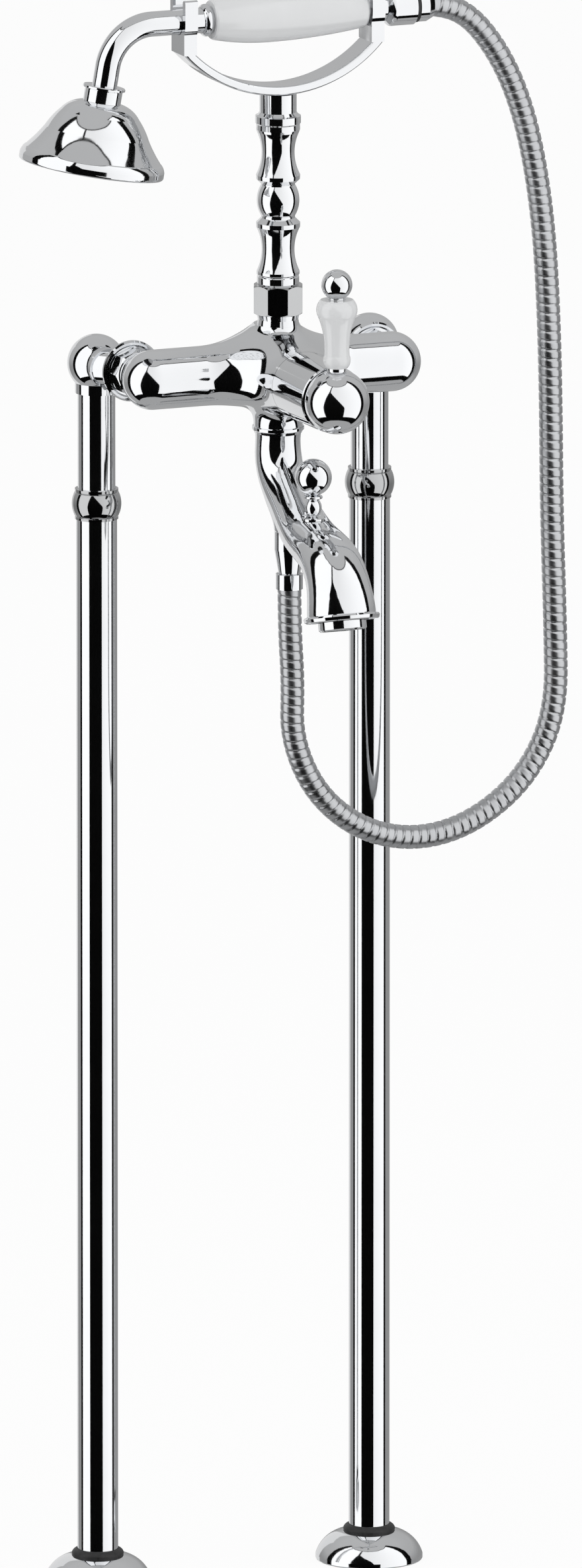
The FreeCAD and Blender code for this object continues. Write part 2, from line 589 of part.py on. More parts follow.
def spout():
    top = S.mixer_level - S.spout_boss_drop
    ring_r, ring_high = S.collar_ring_od / 2, S.collar_ring_high
    spigot_r = S.outlet_bore / 2 - 0.3
    spigot_up = S.spigot_high
    keep(turned([(spigot_r + S.tube_play, 0), (ring_r - 1.4, 0), (ring_r - 0.8, ring_high * 0.35),
                 (ring_r, ring_high * 0.5), (ring_r, ring_high - 0.5), (ring_r - 0.5, ring_high),
                 (spigot_r + S.tube_play, ring_high)], 0, -S.centre_reach, top - ring_high),
         "spout_collar")
    lip_r = S.lip_od / 2
    hole_r = S.aerator_od / 2 + S.tube_play
    lip_back = S.lip_high * 0.5
    lip_y, lip_z = mouth_point(-lip_back)
    lip = turned([(hole_r, 0), (lip_r - 2.6, 0), (lip_r - 2.6, S.lip_high * 0.15),
                  (lip_r - 0.6, S.lip_high * 0.3),
                  (lip_r, S.lip_high * 0.55), (lip_r - 0.5, S.lip_high), (lip_r - 1.6, S.lip_high + 0.6),
                  (lip_r - 3.2, S.lip_high + 0.6), (lip_r - 3.2, S.lip_high), (hole_r, S.lip_high)],
                 0, lip_y, lip_z, mouth_turn())
    # the neck runs on down, tapering, to the shower outlet
    neck_r, out_r = S.neck_od / 2, S.hose_nut_od / 2 + 0.2
    low = S.outlet_level
    span = top - low
    lean = S.outlet_reach - S.centre_reach
    branch = lofted([
        (neck_r - 0.4, neck_r - 0.4, 0, -S.centre_reach, low + span * 0.74, DOWN),
        (neck_r - 1.3, neck_r - 1.3, 0, -S.centre_reach - lean * 0.2, low + span * 0.52,
         FreeCAD.Rotation(V(1, 0, 0), 158)),
        (out_r + 1.9, out_r + 1.9, 0, -S.centre_reach - lean * 0.62, low + span * 0.26,
         FreeCAD.Rotation(V(1, 0, 0), 156)),
        (out_r + 0.2, out_r + 0.2, 0, -S.centre_reach - lean * 0.93, low + span * 0.08,
         FreeCAD.Rotation(V(1, 0, 0), 170)),
        (out_r, out_r, 0, -S.outlet_reach, low, DOWN)])
    stub = rod(S.outlet_stub / 2, S.stub_long + 2, 0, -S.outlet_reach, low - S.stub_long)
    spigot = rod(spigot_r, spigot_up + ring_high + 2, 0, -S.centre_reach, top - ring_high - 2)
    # a spot face under the spout gives the hose nut room to turn
    spot_face = rod(S.hose_nut_od / 2 + S.rod_gap, S.hose_nut_long, 0, -S.outlet_reach, low - S.hose_nut_long)
    shell = fused(cut(lofted(spout_rings(0)), spot_face), branch, lip, stub, spigot)
    # the water way, with solid metal left round the diverter's gland
    face, seat = S.gland_level - S.gland_flange, S.gland_seat_level
    knob_y = -S.knob_reach
    way = cut(lofted(spout_rings(S.spout_wall)), rod(S.gland_od / 2 + 2, S.mouth_od, 0, knob_y, seat))
    bore_r = S.outlet_stub / 2 - 1.6
    inward = FreeCAD.Rotation(V(1, 0, 0), -number(S.mouth_tilt))
    bores = [rod(bore_r, S.stub_long + span * 0.45, 0, -S.outlet_reach, low - S.stub_long - 0.5),
             rod(spigot_r - 2, spigot_up + span * 0.4, 0, -S.centre_reach, top - span * 0.4 + 1),
             rod(hole_r, S.aerator_long + 0.1, 0, *mouth_point(S.aerator_drop), inward),
             rod(hole_r - 2.5, S.mouth_od * 0.5, 0, *mouth_point(S.aerator_drop), inward),
             rod(S.gland_od / 2 + 0.5, S.mouth_od, 0, knob_y, face),
             rod(S.gland_od / 2 - 1.2 + S.tube_play, S.mouth_od * 0.4, 0, knob_y, seat - 1)]
    keep(cut(shell, way, *bores), "spout")


def aerator():
    r, drop = S.aerator_od / 2, S.aerator_drop
    base_y, base_z = mouth_point(drop)
    upward = FreeCAD.Rotation(V(1, 0, 0), -number(S.mouth_tilt))
    wall = 2
    keep(turned([(r - wall - 0.6, 0), (r - 0.8, 0), (r, 0.8), (r, S.aerator_long),
                 (r - wall, S.aerator_long),
                 (r - wall, 2), (r - wall - 0.6, 1.4)], 0, base_y, base_z, upward), "aerator_housing")
    grid_y, grid_z = mouth_point(drop - 2.1)
    insert_r = r - wall - 0.1
    insert = rod(insert_r, S.aerator_long * 0.6, 0, grid_y, grid_z, upward)
    holes = []
    for count, ring in ((6, 0.4), (12, 0.76)):
        for index in range(count):
            angle = 2 * math.pi * index / count
            local = V(math.cos(angle), math.sin(angle), 0) * number(insert_r * ring)
            spot = upward.multVec(local)
            holes.append(rod(insert_r * 0.1, S.aerator_long, spot.x, grid_y + spot.y,
                             grid_z + spot.z - 1, upward))
    keep(cut(insert, *holes), "aerator_insert")


def diverter():
    y = -S.knob_reach
    seat, face = S.gland_seat_level, S.gland_level - S.gland_flange
    body_r = S.gland_od / 2 - 1.2
    rod_r = S.rod_od / 2
    keep(turned([(rod_r + S.rod_gap, 0), (body_r, 0), (body_r, face - seat), (S.gland_od / 2, face - seat),
                 (S.gland_od / 2, S.gland_level - seat - 0.5), (S.gland_od / 2 - 0.6, S.gland_level - seat),
                 (rod_r + S.rod_gap, S.gland_level - seat)], 0, y, seat), "diverter_gland")
    ball_r = S.knob_od / 2
    foot = S.gland_level + 0.4
    stem_r = S.knob_stem / 2
    neck_r = stem_r * 0.62
    tall = S.knob_level - foot
    throat = tall - root(ball_r * ball_r - neck_r * neck_r)
    bead_low = throat - 2.6
    keep(turned([(0, 0), (rod_r, 0), (rod_r, foot - S.plug_level), (neck_r, foot - S.plug_level),
                 (neck_r + 0.3, foot - S.plug_level + 0.5, out(bead_low * 0.75)),
                 (neck_r, foot - S.plug_level + bead_low),
                 (stem_r + 0.3, foot - S.plug_level + bead_low + 0.5, out(1.2)),
                 (stem_r + 0.3, foot - S.plug_level + bead_low + 2),
                 (neck_r, foot - S.plug_level + throat, out(ball_r)),
                 (0, S.knob_level + ball_r - S.plug_level)], 0, y, S.plug_level), "diverter_knob")
    keep(tube(S.plug_od / 2, rod_r + 0.02, 3, 0, y, S.plug_level + 0.5), "diverter_plug")


# ---- shower support ------------------------------------------------------
def support():
    y = -S.centre_reach
    base = S.mixer_level + S.top_boss_high
    ring_r = S.top_boss_od / 2
    keep(turned([(ring_r - 3.95, 0), (ring_r, 0), (ring_r - 0.5, S.top_ring_high * 0.5),
                 (ring_r + 0.3, S.top_ring_high), (ring_r - 3.95, S.top_ring_high)], 0, y, base), "top_ring")
    nut_at = S.top_nut_level
    face = nut(S.top_nut_corner / 2, S.top_nut_high, S.baluster_od / 2 - 3.95, 1.2)
    keep(place(face, 0, y, nut_at), "top_nut")
    tall, wide = S.baluster_high, S.baluster_od / 2
    waist, ring = S.baluster_waist / 2, S.baluster_ring_od / 2
    spigot_r = S.baluster_od / 2 - 4
    neck_r = S.support_neck_od / 2
    # radius, share of the height, and the arc to the next corner as a share of the height
    profile = [(wide - 0.4, 0, 0), (wide, 0.010, 0), (wide, 0.046, 0), (wide - 0.5, 0.052, 0),
               (wide + 0.2, 0.062, 0), (wide + 0.2, 0.078, -0.286), (wide + 0.5, 0.335, 0),
               (wide + 0.55, 0.360, 0), (waist, 0.388, 0), (waist, 0.400, 0.174), (waist, 0.578, 0),
               (waist, 0.586, 0), (wide + 0.4, 0.612, 0), (wide + 0.55, 0.636, -0.281),
               (wide, 0.885, 0), (wide + 0.5, 0.900, 0), (wide + 0.4, 0.930, 0), (ring, 0.938, 0),
               (ring, 0.978, 0), (wide - 0.2, 0.984, 0)]
    points = [(0, 0), (spigot_r, 0), (spigot_r, S.top_nut_high)]
    for radius, share, bow in profile:
        corner = (radius, S.top_nut_high + tall * share)
        if bow > 0:
            corner += (out(tall * bow),)
        if bow < 0:
            corner += (hollow(tall * -bow),)
        points.append(corner)
    points += [(neck_r, S.top_nut_high + tall), (neck_r, S.top_nut_high + tall + S.support_neck_high),
               (0, S.top_nut_high + tall + S.support_neck_high)]
    keep(turned(points, 0, y, nut_at), "baluster")


def cradle():
    y = -S.centre_reach
    low = S.cradle_level
    outer, inner = S.strip_radius, S.strip_radius - S.strip_thick
    centre = low + outer
    half = S.ear_gap / 2 + S.ear_thick * 0.4
    reach = root(outer * outer - half * half)
    soft, wide = S.strip_thick * 0.28, S.strip_deep / 2
    ring = turned([(inner + soft, -wide), (outer - soft, -wide, out(soft)), (outer, soft - wide),
                   (outer, wide - soft, out(soft)), (outer - soft, wide),
                   (inner + soft, wide, out(soft)), (inner, wide - soft),
                   (inner, soft - wide, out(soft))], 0, y, centre, FORWARD)
    strip = common(ring, made("Box", -half, y - wide * 1.5, low - 1, Length=half * 2,
                              Width=wide * 3, Height=outer - reach + 4))
    level = S.shower_level
    ear_r = S.ear_od / 2
    slot_r = S.arm_tube_od / 2 + S.saddle_gap
    tip_r = (ear_r - slot_r) / 2
    solid, gaps = [strip], []
    for name, side in SIDES:
        x = S.ear_gap / 2 * side - S.ear_thick / 2
        foot_low = centre - reach + 0.4
        solid.append(rod(ear_r, S.ear_thick, x, y, level, RIGHT))
        solid.append(made("Box", x, y - S.strip_deep / 2, foot_low, Length=S.ear_thick,
                          Width=S.strip_deep, Height=level - foot_low))
        solid.append(made("Box", x, y - ear_r, level, Length=S.ear_thick, Width=S.ear_od,
                          Height=S.prong_rise))
        gaps.append(rod(slot_r, S.ear_thick + 2, x - 1, y, level, RIGHT))
        gaps.append(made("Box", x - 1, y - slot_r, level, Length=S.ear_thick + 2, Width=slot_r * 2,
                         Height=S.prong_rise * 2 + 10))
    tips = [rod(tip_r, S.ear_thick, S.ear_gap / 2 * side - S.ear_thick / 2, y + (slot_r + tip_r) * way,
                level + S.prong_rise, RIGHT) for name, side in SIDES for way in (-1, 1)]
    keep(fused(cut(fused(*solid), *gaps), *tips), "cradle")


# ---- hand shower ---------------------------------------------------------
def bend_tube(radius, stretch):
    """The bent stretch with straight ends, as one solid of that radius."""
    y, z = -S.centre_reach, S.shower_level
    start = -S.arm_straight_end
    sideways = FreeCAD.Rotation(V(0, 0, 1), V(-1, 0, 0), V(0, -1, 0), "XYZ")
    bend = made("Torus", start, y, z - S.arm_bend, sideways,
                Radius1=S.arm_bend, Radius2=radius, Angle3=S.arm_drop_turn)
    straight = rod(radius, S.arm_straight - S.tube_play + stretch, start, y, z, RIGHT)
    down_x, down_z = arm_end(0)
    drop = rod(radius, S.arm_down + stretch, down_x, y, down_z, rose_turn(180))
    return fused(bend, straight, drop)


def rose_turn(flip=0):
    return FreeCAD.Rotation(V(0, 1, 0), 90 - number(S.arm_drop_turn) + flip)


def arm_end(further):
    """A point on the rose's axis, that far past the end of the bend."""
    turn = S.arm_drop_turn
    x = -S.arm_straight_end - sine(turn) * S.arm_bend - cosine(turn) * further
    z = S.shower_level - S.arm_bend + cosine(turn) * S.arm_bend - sine(turn) * further
    return x, z


def handset():
    y, z = -S.centre_reach, S.shower_level
    tube_r = S.arm_tube_od / 2
    keep(cut(bend_tube(tube_r, 0), bend_tube(S.arm_tube_bore / 2, 2)), "handset_arm")
    bead_r = S.bead_od / 2
    bead_long = S.bead_long
    keep(turned([(S.arm_tube_bore / 2, 0), (bead_r - 1.6, 0),
                 (bead_r - 0.6, bead_long * 0.12, out(bead_long * 0.5)),
                 (bead_r - 0.6, bead_long * 0.8), (bead_r - 1.4, bead_long - 0.05),
                 (S.arm_tube_bore / 2, bead_long - 0.05)], -S.bead_start, y, z, RIGHT), "handset_bead")
    long = S.shower_grip_long
    bore = S.arm_tube_bore / 2
    # two arcs that meet at the crest
    crest_r, crest_at = S.shower_grip_od / 2, long * 0.36
    first_r, last_r = S.shower_grip_end / 2 + 1, S.shower_grip_end / 2 + 0.2
    first_run, first_rise = crest_at - 1, crest_r - first_r
    last_run, last_rise = long - 1.2 - crest_at, crest_r - last_r
    first_bow = (first_run * first_run + first_rise * first_rise) * 0.5 / first_rise
    last_bow = (last_run * last_run + last_rise * last_rise) * 0.5 / last_rise
    keep(turned([(bore, 0), (first_r - 0.8, 0), (first_r, 1, out(first_bow)),
                 (crest_r, crest_at, out(last_bow)), (last_r, long - 1.2), (last_r - 0.8, long),
                 (bore, long)], -S.shower_grip_half, y, z, RIGHT), "handset_grip")
    neck_at = long - S.shower_grip_half + 0.05
    neck_long = S.neck_end_long
    keep(tube(tube_r, S.hose_bore / 2, neck_long, neck_at, y, z, RIGHT), "handset_neck")
    nut_at = neck_at + neck_long + 0.05
    nut_r = S.upper_nut_od / 2
    keep(turned([(S.hose_bore / 2, 0), (tube_r + 0.8, 0), (nut_r - 0.6, 1.6, out(4)), (nut_r, 4.4),
                 (nut_r, S.upper_nut_long), (S.hose_bore / 2, S.upper_nut_long)], nut_at, y, z, RIGHT),
         "hose_nut_upper")
    ring_at = nut_at + S.upper_nut_long + 0.05
    keep(tube(S.hose_ring_od / 2, S.hose_bore / 2, S.hose_ring_long, ring_at, y, z, RIGHT), "hose_ring")
    ferrule_at = ring_at + S.hose_ring_long + 0.05
    ferrule_r, sleeve = S.upper_ferrule_od / 2, S.hose_od / 2 + S.rod_gap
    keep(turned([(sleeve, 0), (ferrule_r, 0), (ferrule_r, S.upper_ferrule_long * 0.6),
                 (S.ferrule_od / 2 + 0.3, S.upper_ferrule_long), (sleeve, S.upper_ferrule_long)],
                ferrule_at, y, z, RIGHT), "hose_ferrule_upper")
    return ferrule_at


def rose():
    y = -S.centre_reach
    nut_x, nut_z = arm_end(S.arm_down + S.rose_nut_high - 2.5)
    rim_r, neck_r = S.rose_od / 2, S.rose_neck_od / 2
    tube_r = S.arm_tube_od / 2
    high = S.rose_nut_high
    body_r = neck_r - 1.4
    keep(turned([(tube_r - 1.5, 0), (body_r, 0), (body_r, high - 2.2), (neck_r, high - 1.6),
                 (neck_r, high - 0.5), (neck_r - 0.5, high), (tube_r + S.tube_play, high),
                 (tube_r + S.tube_play, high - 2.5), (tube_r - 1.5, high - 2.5)],
                nut_x, y, nut_z, rose_turn()), "rose_nut")
    rim_x, rim_z = arm_end(S.arm_down + S.rose_nut_high - 2.5 + S.rose_high + 0.05)
    wall, rim, lip, tall = S.rose_wall, S.rose_rim, S.rose_lip, S.rose_high
    # an ogee bell: a rounded lip, a hollow flare, a swelling shoulder and a domed top
    lip_r, waist_r, waist_at = rim_r - 1.9, rim_r * 0.72, tall * 0.54
    shoulder_r, shoulder_at = rim_r * 0.545, tall * 0.82
    top_r, inner_top = body_r + 0.6, tall - wall
    keep(turned([(rim_r - wall, 0), (rim_r - 0.8, 0, out(1.6)), (rim_r, rim * 0.4),
                 (rim_r, rim, out(lip * 1.1)), (lip_r, lip), (lip_r - 0.7, lip + 0.5, hollow(tall * 2.2)),
                 (waist_r, waist_at, out(tall * 1.2)), (shoulder_r, shoulder_at, out(tall * 0.44)),
                 (top_r, tall), (tube_r - 1.5, tall), (tube_r - 1.5, inner_top),
                 (top_r, inner_top, hollow(tall * 0.44)), (shoulder_r - wall, shoulder_at - wall * 0.8),
                 (waist_r - wall, waist_at - wall * 0.8), (lip_r - wall, lip - wall * 0.5),
                 (rim_r - wall, rim - 0.4)], rim_x, y, rim_z, rose_turn()), "rose_bell")
    plate_r = rim_r - wall - 0.1
    inset = S.spray_inset
    turn = rose_turn()
    up = turn.multVec(V(0, 0, 1))
    solid = [rod(plate_r, S.spray_thick, rim_x + up.x * number(inset), y,
                 rim_z + up.z * number(inset), turn)]
    nozzle_low = number(inset - S.nozzle_high)
    for count, share in ((6, 0.22), (12, 0.48), (18, 0.74)):
        for index in range(count):
            angle = 2 * math.pi * index / count
            reach = number(plate_r) * share
            spot = turn.multVec(V(math.cos(angle) * reach, math.sin(angle) * reach, nozzle_low))
            solid.append(rod(S.nozzle_od / 2, S.nozzle_high + 0.5, rim_x + spot.x, y + spot.y,
                             rim_z + spot.z, turn))
    keep(fused(*solid), "spray_plate")


def hose_fittings():
    y = -S.outlet_reach
    top = S.outlet_level
    nut_r, tip_r, long = S.hose_nut_od / 2, S.hose_nut_tip / 2, S.hose_nut_long
    stub_r = S.outlet_stub / 2 + S.tube_play
    bore = S.hose_bore / 2
    depth = S.stub_long + 0.3
    keep(turned([(bore, 0), (tip_r, 0), (nut_r, long * 0.55), (nut_r, long - 0.8), (nut_r - 0.6, long - 0.05),
                 (stub_r, long - 0.05), (stub_r, long - depth), (bore, long - depth)],
                0, y, top - long), "hose_nut_lower")
    keep(tube(S.ferrule_od / 2, S.hose_od / 2 + S.tube_play, S.ferrule_long - 0.05, 0, y,
              top - long - S.ferrule_long), "hose_ferrule_lower")
    return top - long


# ---- hose ----------------------------------------------------------------
def hose_route(first_x, last_z):
    """The corners of the hose's route: out of the hand shower, down, and up to the outlet."""
    start = V(number(first_x), -number(S.centre_reach), number(S.shower_level))
    stop = V(0, -number(S.outlet_reach), number(last_z))
    # corners below the hand shower, from the ferrule's end, then before the outlet, from the nut's end
    falling = [(39.2, -0.5, -6.8), (52.9, -1, -19.8), (62.4, -2, -39.5), (70.2, -3, -69.6), (77.2, -4.5, -111),
               (80, -6, -171), (81.1, -8, -239), (81, -10, -305)]
    rising = [(170, 6, -43), (170.5, 5, -96), (152, 4.5, -133), (119.5, 4, -157.5), (84, 3.5, -166),
              (48, 3, -158), (18, 2.3, -134), (1.8, 1.5, -99), (2.5, 0.5, -65)]
    return ([start, start + V(22, 0, 0)] + [start + V(*offset) for offset in falling]
            + [stop + V(*offset) for offset in rising] + [stop + V(0, 0, -31), stop])


def rounded(points):
    """Straight runs joined by tangent arcs, as edges, with the arcs' radii."""
    edges, radii = [], []
    here = points[0]
    for index in range(1, len(points) - 1):
        corner = points[index]
        back, ahead = points[index - 1] - corner, points[index + 1] - corner
        turn = math.pi - back.getAngle(ahead)
        shorter = min(back.Length, ahead.Length)
        radius = 0.45 * shorter / math.tan(turn / 2)
        radii.append(radius)
        back.normalize()
        ahead.normalize()
        first, last = corner + back * 0.45 * shorter, corner + ahead * 0.45 * shorter
        inward = (back + ahead).normalize()
        middle = corner + inward * (radius / math.cos(turn / 2) - radius)
        edges.append(Part.LineSegment(here, first).toShape())
        edges.append(Part.Arc(first, middle, last).toShape())
        here = last
    edges.append(Part.LineSegment(here, points[-1]).toShape())
    return edges, radii


def at_distance(edges, reach):
    """Point and direction on the route, that far from its start."""
    for edge in edges:
        if reach <= edge.Length or edge is edges[-1]:
            where = edge.getParameterByLength(min(reach, edge.Length))
            return edge.valueAt(where), edge.tangentAt(where)
        reach -= edge.Length


def ring_on(edges, reach, radius):
    """A circle square to the route, its X axis kept level along the whole hose."""
    point, along = at_distance(edges, reach)
    level = (V(0, 1, 0) - along * along.y).normalize()
    circle = Part.makeCircle(radius)
    circle.Placement = FreeCAD.Placement(point, FreeCAD.Rotation(level, along.cross(level), along, "XYZ"))
    return Part.Wire([circle])


def hose(first_x, last_z):
    edges, radii = rounded(hose_route(first_x, last_z))
    long = sum(edge.Length for edge in edges)
    crest, groove, bore = number(S.hose_od) / 2, number(S.hose_root) / 2, number(S.hose_bore) / 2
    count = int(number(S.rib_count))
    pitch = long / count
    profile = ((0.08, groove), (0.22, crest), (0.78, crest), (0.92, groove))
    rings = [ring_on(edges, 0, groove)]
    rings += [ring_on(edges, (rib + share) * pitch, radius) for rib in range(count) for share, radius in profile]
    rings.append(ring_on(edges, long, groove))
    skin = Part.makeLoft(rings, True, True)
    way = Part.Wire(edges).makePipeShell([ring_on(edges, 0, bore)], True, False)
    thing = doc.addObject("Part::Feature", "Hose")
    thing.Shape = skin.cut(way)
    keep(thing, "hose")
    print("hose length %.1f mm, tightest arc %.1f mm" % (long, min(radii)))
    print("arc radii:", " ".join("%.0f" % radius for radius in radii))
    section = sum((b - a) * (r * r + r * s + s * s) / 3 for (a, r), (b, s)
                  in zip(profile, profile[1:] + ((1.08, groove),))) * math.pi - math.pi * bore * bore
    print("hose volume %.0f mm3, section times length %.0f mm3" % (thing.Shape.Volume, section * long))


# ---- the whole object ----------------------------------------------------
for name, side in SIDES:
    floor_end(side, name)
    column(side, name)
    elbow_and_union(side, name)
mixer_body()
cartridge()
lever()
spout()
aerator()
diverter()
support()
cradle()
hose_start = handset()
rose()
hose_stop = hose_fittings()
hose(hose_start, hose_stop)
doc.recompute()

faults = [thing.Label for thing in doc.Objects if {"Invalid", "Error"} & set(thing.State)]
faults += [label for label, thing in parts.items() if thing.Shape.isNull() or not thing.Shape.isValid()]
if faults:
    raise RuntimeError("not sound: " + ", ".join(faults))
os.makedirs("parts", exist_ok=True)
for label, thing in parts.items():
    thing.Shape.exportStep("parts/%s.step" % label)
print(len(parts), "parts written")
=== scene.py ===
import json
import math
import bpy
import numpy as np
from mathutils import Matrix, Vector


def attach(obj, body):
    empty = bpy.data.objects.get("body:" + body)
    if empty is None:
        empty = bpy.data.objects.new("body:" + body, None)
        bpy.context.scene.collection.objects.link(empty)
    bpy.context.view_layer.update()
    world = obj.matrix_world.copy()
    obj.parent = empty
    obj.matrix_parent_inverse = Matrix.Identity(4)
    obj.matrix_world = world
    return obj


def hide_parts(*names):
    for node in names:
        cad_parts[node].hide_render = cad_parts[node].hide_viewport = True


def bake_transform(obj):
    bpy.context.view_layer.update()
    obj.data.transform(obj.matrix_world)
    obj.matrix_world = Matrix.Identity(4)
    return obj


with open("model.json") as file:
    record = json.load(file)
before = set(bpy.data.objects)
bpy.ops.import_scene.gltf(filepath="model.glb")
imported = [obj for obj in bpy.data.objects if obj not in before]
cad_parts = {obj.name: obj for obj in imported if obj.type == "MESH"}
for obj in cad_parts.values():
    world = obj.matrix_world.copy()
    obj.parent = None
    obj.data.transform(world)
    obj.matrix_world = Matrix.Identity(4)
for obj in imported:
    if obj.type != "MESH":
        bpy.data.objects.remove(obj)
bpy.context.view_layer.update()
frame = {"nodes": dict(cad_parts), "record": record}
nodes = frame["nodes"]
print("frame loaded with", len(nodes), "nodes")

# the photograph's view, in degrees and metres: seen from so far that parallel lines look nearly parallel
photoView = {"azimuth": -22.0, "elevation": 11.8, "distance": 20.0, "aim": (0.0081, -0.070, 0.4856),
             "seenHeight": 0.9158, "sensor": 24.0, "farthest": 60.0}


def photoCamera():
    turn, lift = math.radians(photoView["azimuth"]), math.radians(photoView["elevation"])
    away = Vector((math.sin(turn) * math.cos(lift), -math.cos(turn) * math.cos(lift), math.sin(lift)))
    data = bpy.data.cameras.new("photoCamera")
    data.sensor_fit = "VERTICAL"
    data.sensor_height = photoView["sensor"]
    data.lens = photoView["sensor"] * photoView["distance"] / photoView["seenHeight"]
    data.clip_end = photoView["farthest"]
    thing = bpy.data.objects.new("photoCamera", data)
    bpy.context.collection.objects.link(thing)
    thing.location = Vector(photoView["aim"]) + away * photoView["distance"]
    thing.rotation_euler = (-away).to_track_quat("-Z", "Y").to_euler()
    bpy.context.scene.camera = thing


photoCamera()
print("camera set")


# the band in which most of the noise lies
noiseBand = {"low": 0.3, "high": 0.7}


def plainShader(name):
    material = bpy.data.materials.new(name)
    material.use_nodes = True
    return material, material.node_tree, material.node_tree.nodes["Principled BSDF"]


def objectNoise(tree, scale, detail):
    # noise on object coordinates, so that it stays on the piece
    place = tree.nodes.new("ShaderNodeTexCoord")
    noise = tree.nodes.new("ShaderNodeTexNoise")
    noise.inputs["Scale"].default_value = scale
    noise.inputs["Detail"].default_value = detail
    tree.links.new(place.outputs["Object"], noise.inputs["Vector"])
    return noise.outputs["Fac"]


def between(tree, source, low, high):
    # a number that goes from low to high with the noise
    span = tree.nodes.new("ShaderNodeMapRange")
    span.inputs["From Min"].default_value = noiseBand["low"]
    span.inputs["From Max"].default_value = noiseBand["high"]
    span.inputs["To Min"].default_value = low
    span.inputs["To Max"].default_value = high
    tree.links.new(source, span.inputs["Value"])
    return span.outputs["Result"]


def mottled(tree, source, dark, light):
    # a colour that goes from dark to light with the noise
    ramp = tree.nodes.new("ShaderNodeValToRGB")
    for stop, spot, colour in zip(ramp.color_ramp.elements, noiseBand.values(), (dark, light)):
        stop.position = spot
        stop.color = (*colour, 1)
    tree.links.new(source, ramp.inputs["Fac"])
    return ramp.outputs["Color"]


def raised(tree, shader, source, height):
    # low waves or grain in the surface, height in metres
    bump = tree.nodes.new("ShaderNodeBump")
    bump.inputs["Strength"].default_value = 1.0
    bump.inputs["Distance"].default_value = height
    tree.links.new(source, bump.inputs["Height"])
    tree.links.new(bump.outputs["Normal"], shader.inputs["Normal"])


def clouded(tree, shader, cloud, dark, light, gloss):
    # the noise moves both the colour and the roughness: gloss holds the roughness of its two ends
    tree.links.new(mottled(tree, cloud, dark, light), shader.inputs["Base Color"])
    tree.links.new(between(tree, cloud, *gloss), shader.inputs["Roughness"])


def metal(name, look):
    material, tree, shader = plainShader(name)
    shader.inputs["Metallic"].default_value = 1.0
    cloud = objectNoise(tree, look["scale"], 3.0)
    dark = tuple(part * look["dull"] for part in look["tint"])
    clouded(tree, shader, cloud, dark, look["tint"], (look["gloss"], look["gloss"] + look["smudge"]))
    if "wave" in look:
        raised(tree, shader, objectNoise(tree, look["waveScale"], 1.0), look["wave"])
    return material


# plated metals: gloss is the roughness where cleanest, smudge what handling adds
tubeLook = {"tint": (0.80, 0.81, 0.825), "dull": 0.965, "gloss": 0.035, "smudge": 0.045, "scale": 22.0}
castingLook = dict(tubeLook, wave=0.00022, waveScale=48.0)
turningLook = dict(tubeLook, tint=(0.48, 0.485, 0.49))
hoseLook = {"tint": (0.58, 0.59, 0.605), "dull": 0.86, "gloss": 0.26, "smudge": 0.10, "scale": 90.0}
brassLook = {"tint": (0.75, 0.58, 0.30), "dull": 0.86, "gloss": 0.28, "smudge": 0.12, "scale": 80.0}
copperLook = {"tint": (0.78, 0.45, 0.32), "dull": 0.82, "gloss": 0.30, "smudge": 0.14, "scale": 60.0}
steelLook = {"tint": (0.62, 0.63, 0.65), "dull": 0.84, "gloss": 0.34, "smudge": 0.12, "scale": 90.0}

# fired and glazed; depth is how much of the light enters, reach how far, in metres
porcelainLook = {"tint": (0.72, 0.728, 0.735), "dull": 0.97, "scale": 55.0, "gloss": 0.16, "smudge": 0.05,
                 "coat": 0.5, "coatGloss": 0.06, "depth": 0.15, "reach": 0.004, "glaze": 0.00003,
                 "glazeScale": 70.0}


def glazedPorcelain():
    # a clear glaze over a body that light enters a little way
    material, tree, shader = plainShader("glazedPorcelain")
    look = porcelainLook
    dark = tuple(part * look["dull"] for part in look["tint"])
    clouded(tree, shader, objectNoise(tree, look["scale"], 3.0), dark, look["tint"],
            (look["gloss"], look["gloss"] + look["smudge"]))
    shader.inputs["Coat Weight"].default_value = look["coat"]
    shader.inputs["Coat Roughness"].default_value = look["coatGloss"]
    shader.inputs["Subsurface Weight"].default_value = look["depth"]
    shader.inputs["Subsurface Radius"].default_value = (look["reach"],) * 3
    raised(tree, shader, objectNoise(tree, look["glazeScale"], 1.0), look["glaze"])
    return material


rubberLook = {"dark": (0.010, 0.010, 0.010), "light": (0.026, 0.026, 0.027), "scale": 400.0,
              "gloss": (0.45, 0.62), "grain": 0.00004}


def blackRubber():
    material, tree, shader = plainShader("blackRubber")
    cloud = objectNoise(tree, rubberLook["scale"], 5.0)
    clouded(tree, shader, cloud, rubberLook["dark"], rubberLook["light"], rubberLook["gloss"])
    raised(tree, shader, cloud, rubberLook["grain"])
    return material


plasticLook = {"dark": (0.70, 0.70, 0.68), "light": (0.80, 0.80, 0.78), "scale": 200.0, "gloss": (0.38, 0.48)}
ceramicLook = {"dark": (0.78, 0.77, 0.74), "light": (0.86, 0.86, 0.84), "scale": 200.0, "gloss": (0.30, 0.40)}


def pale(name, look):
    # moulded plastic and fired ceramic, which differ only in tint and gloss
    material, tree, shader = plainShader(name)
    cloud = objectNoise(tree, look["scale"], 4.0)
    clouded(tree, shader, cloud, look["dark"], look["light"], look["gloss"])
    return material


finishes = {"chrome": metal("chromedTube", tubeLook), "hose_chrome": metal("chromedHose", hoseLook),
            "brass": metal("machinedBrass", brassLook), "copper": metal("copperPipe", copperLook),
            "steel": metal("zincSteel", steelLook), "porcelain": glazedPorcelain(),
            "rubber": blackRubber(), "plastic": pale("mouldedPlastic", plasticLook),
            "ceramic": pale("firedCeramic", ceramicLook)}
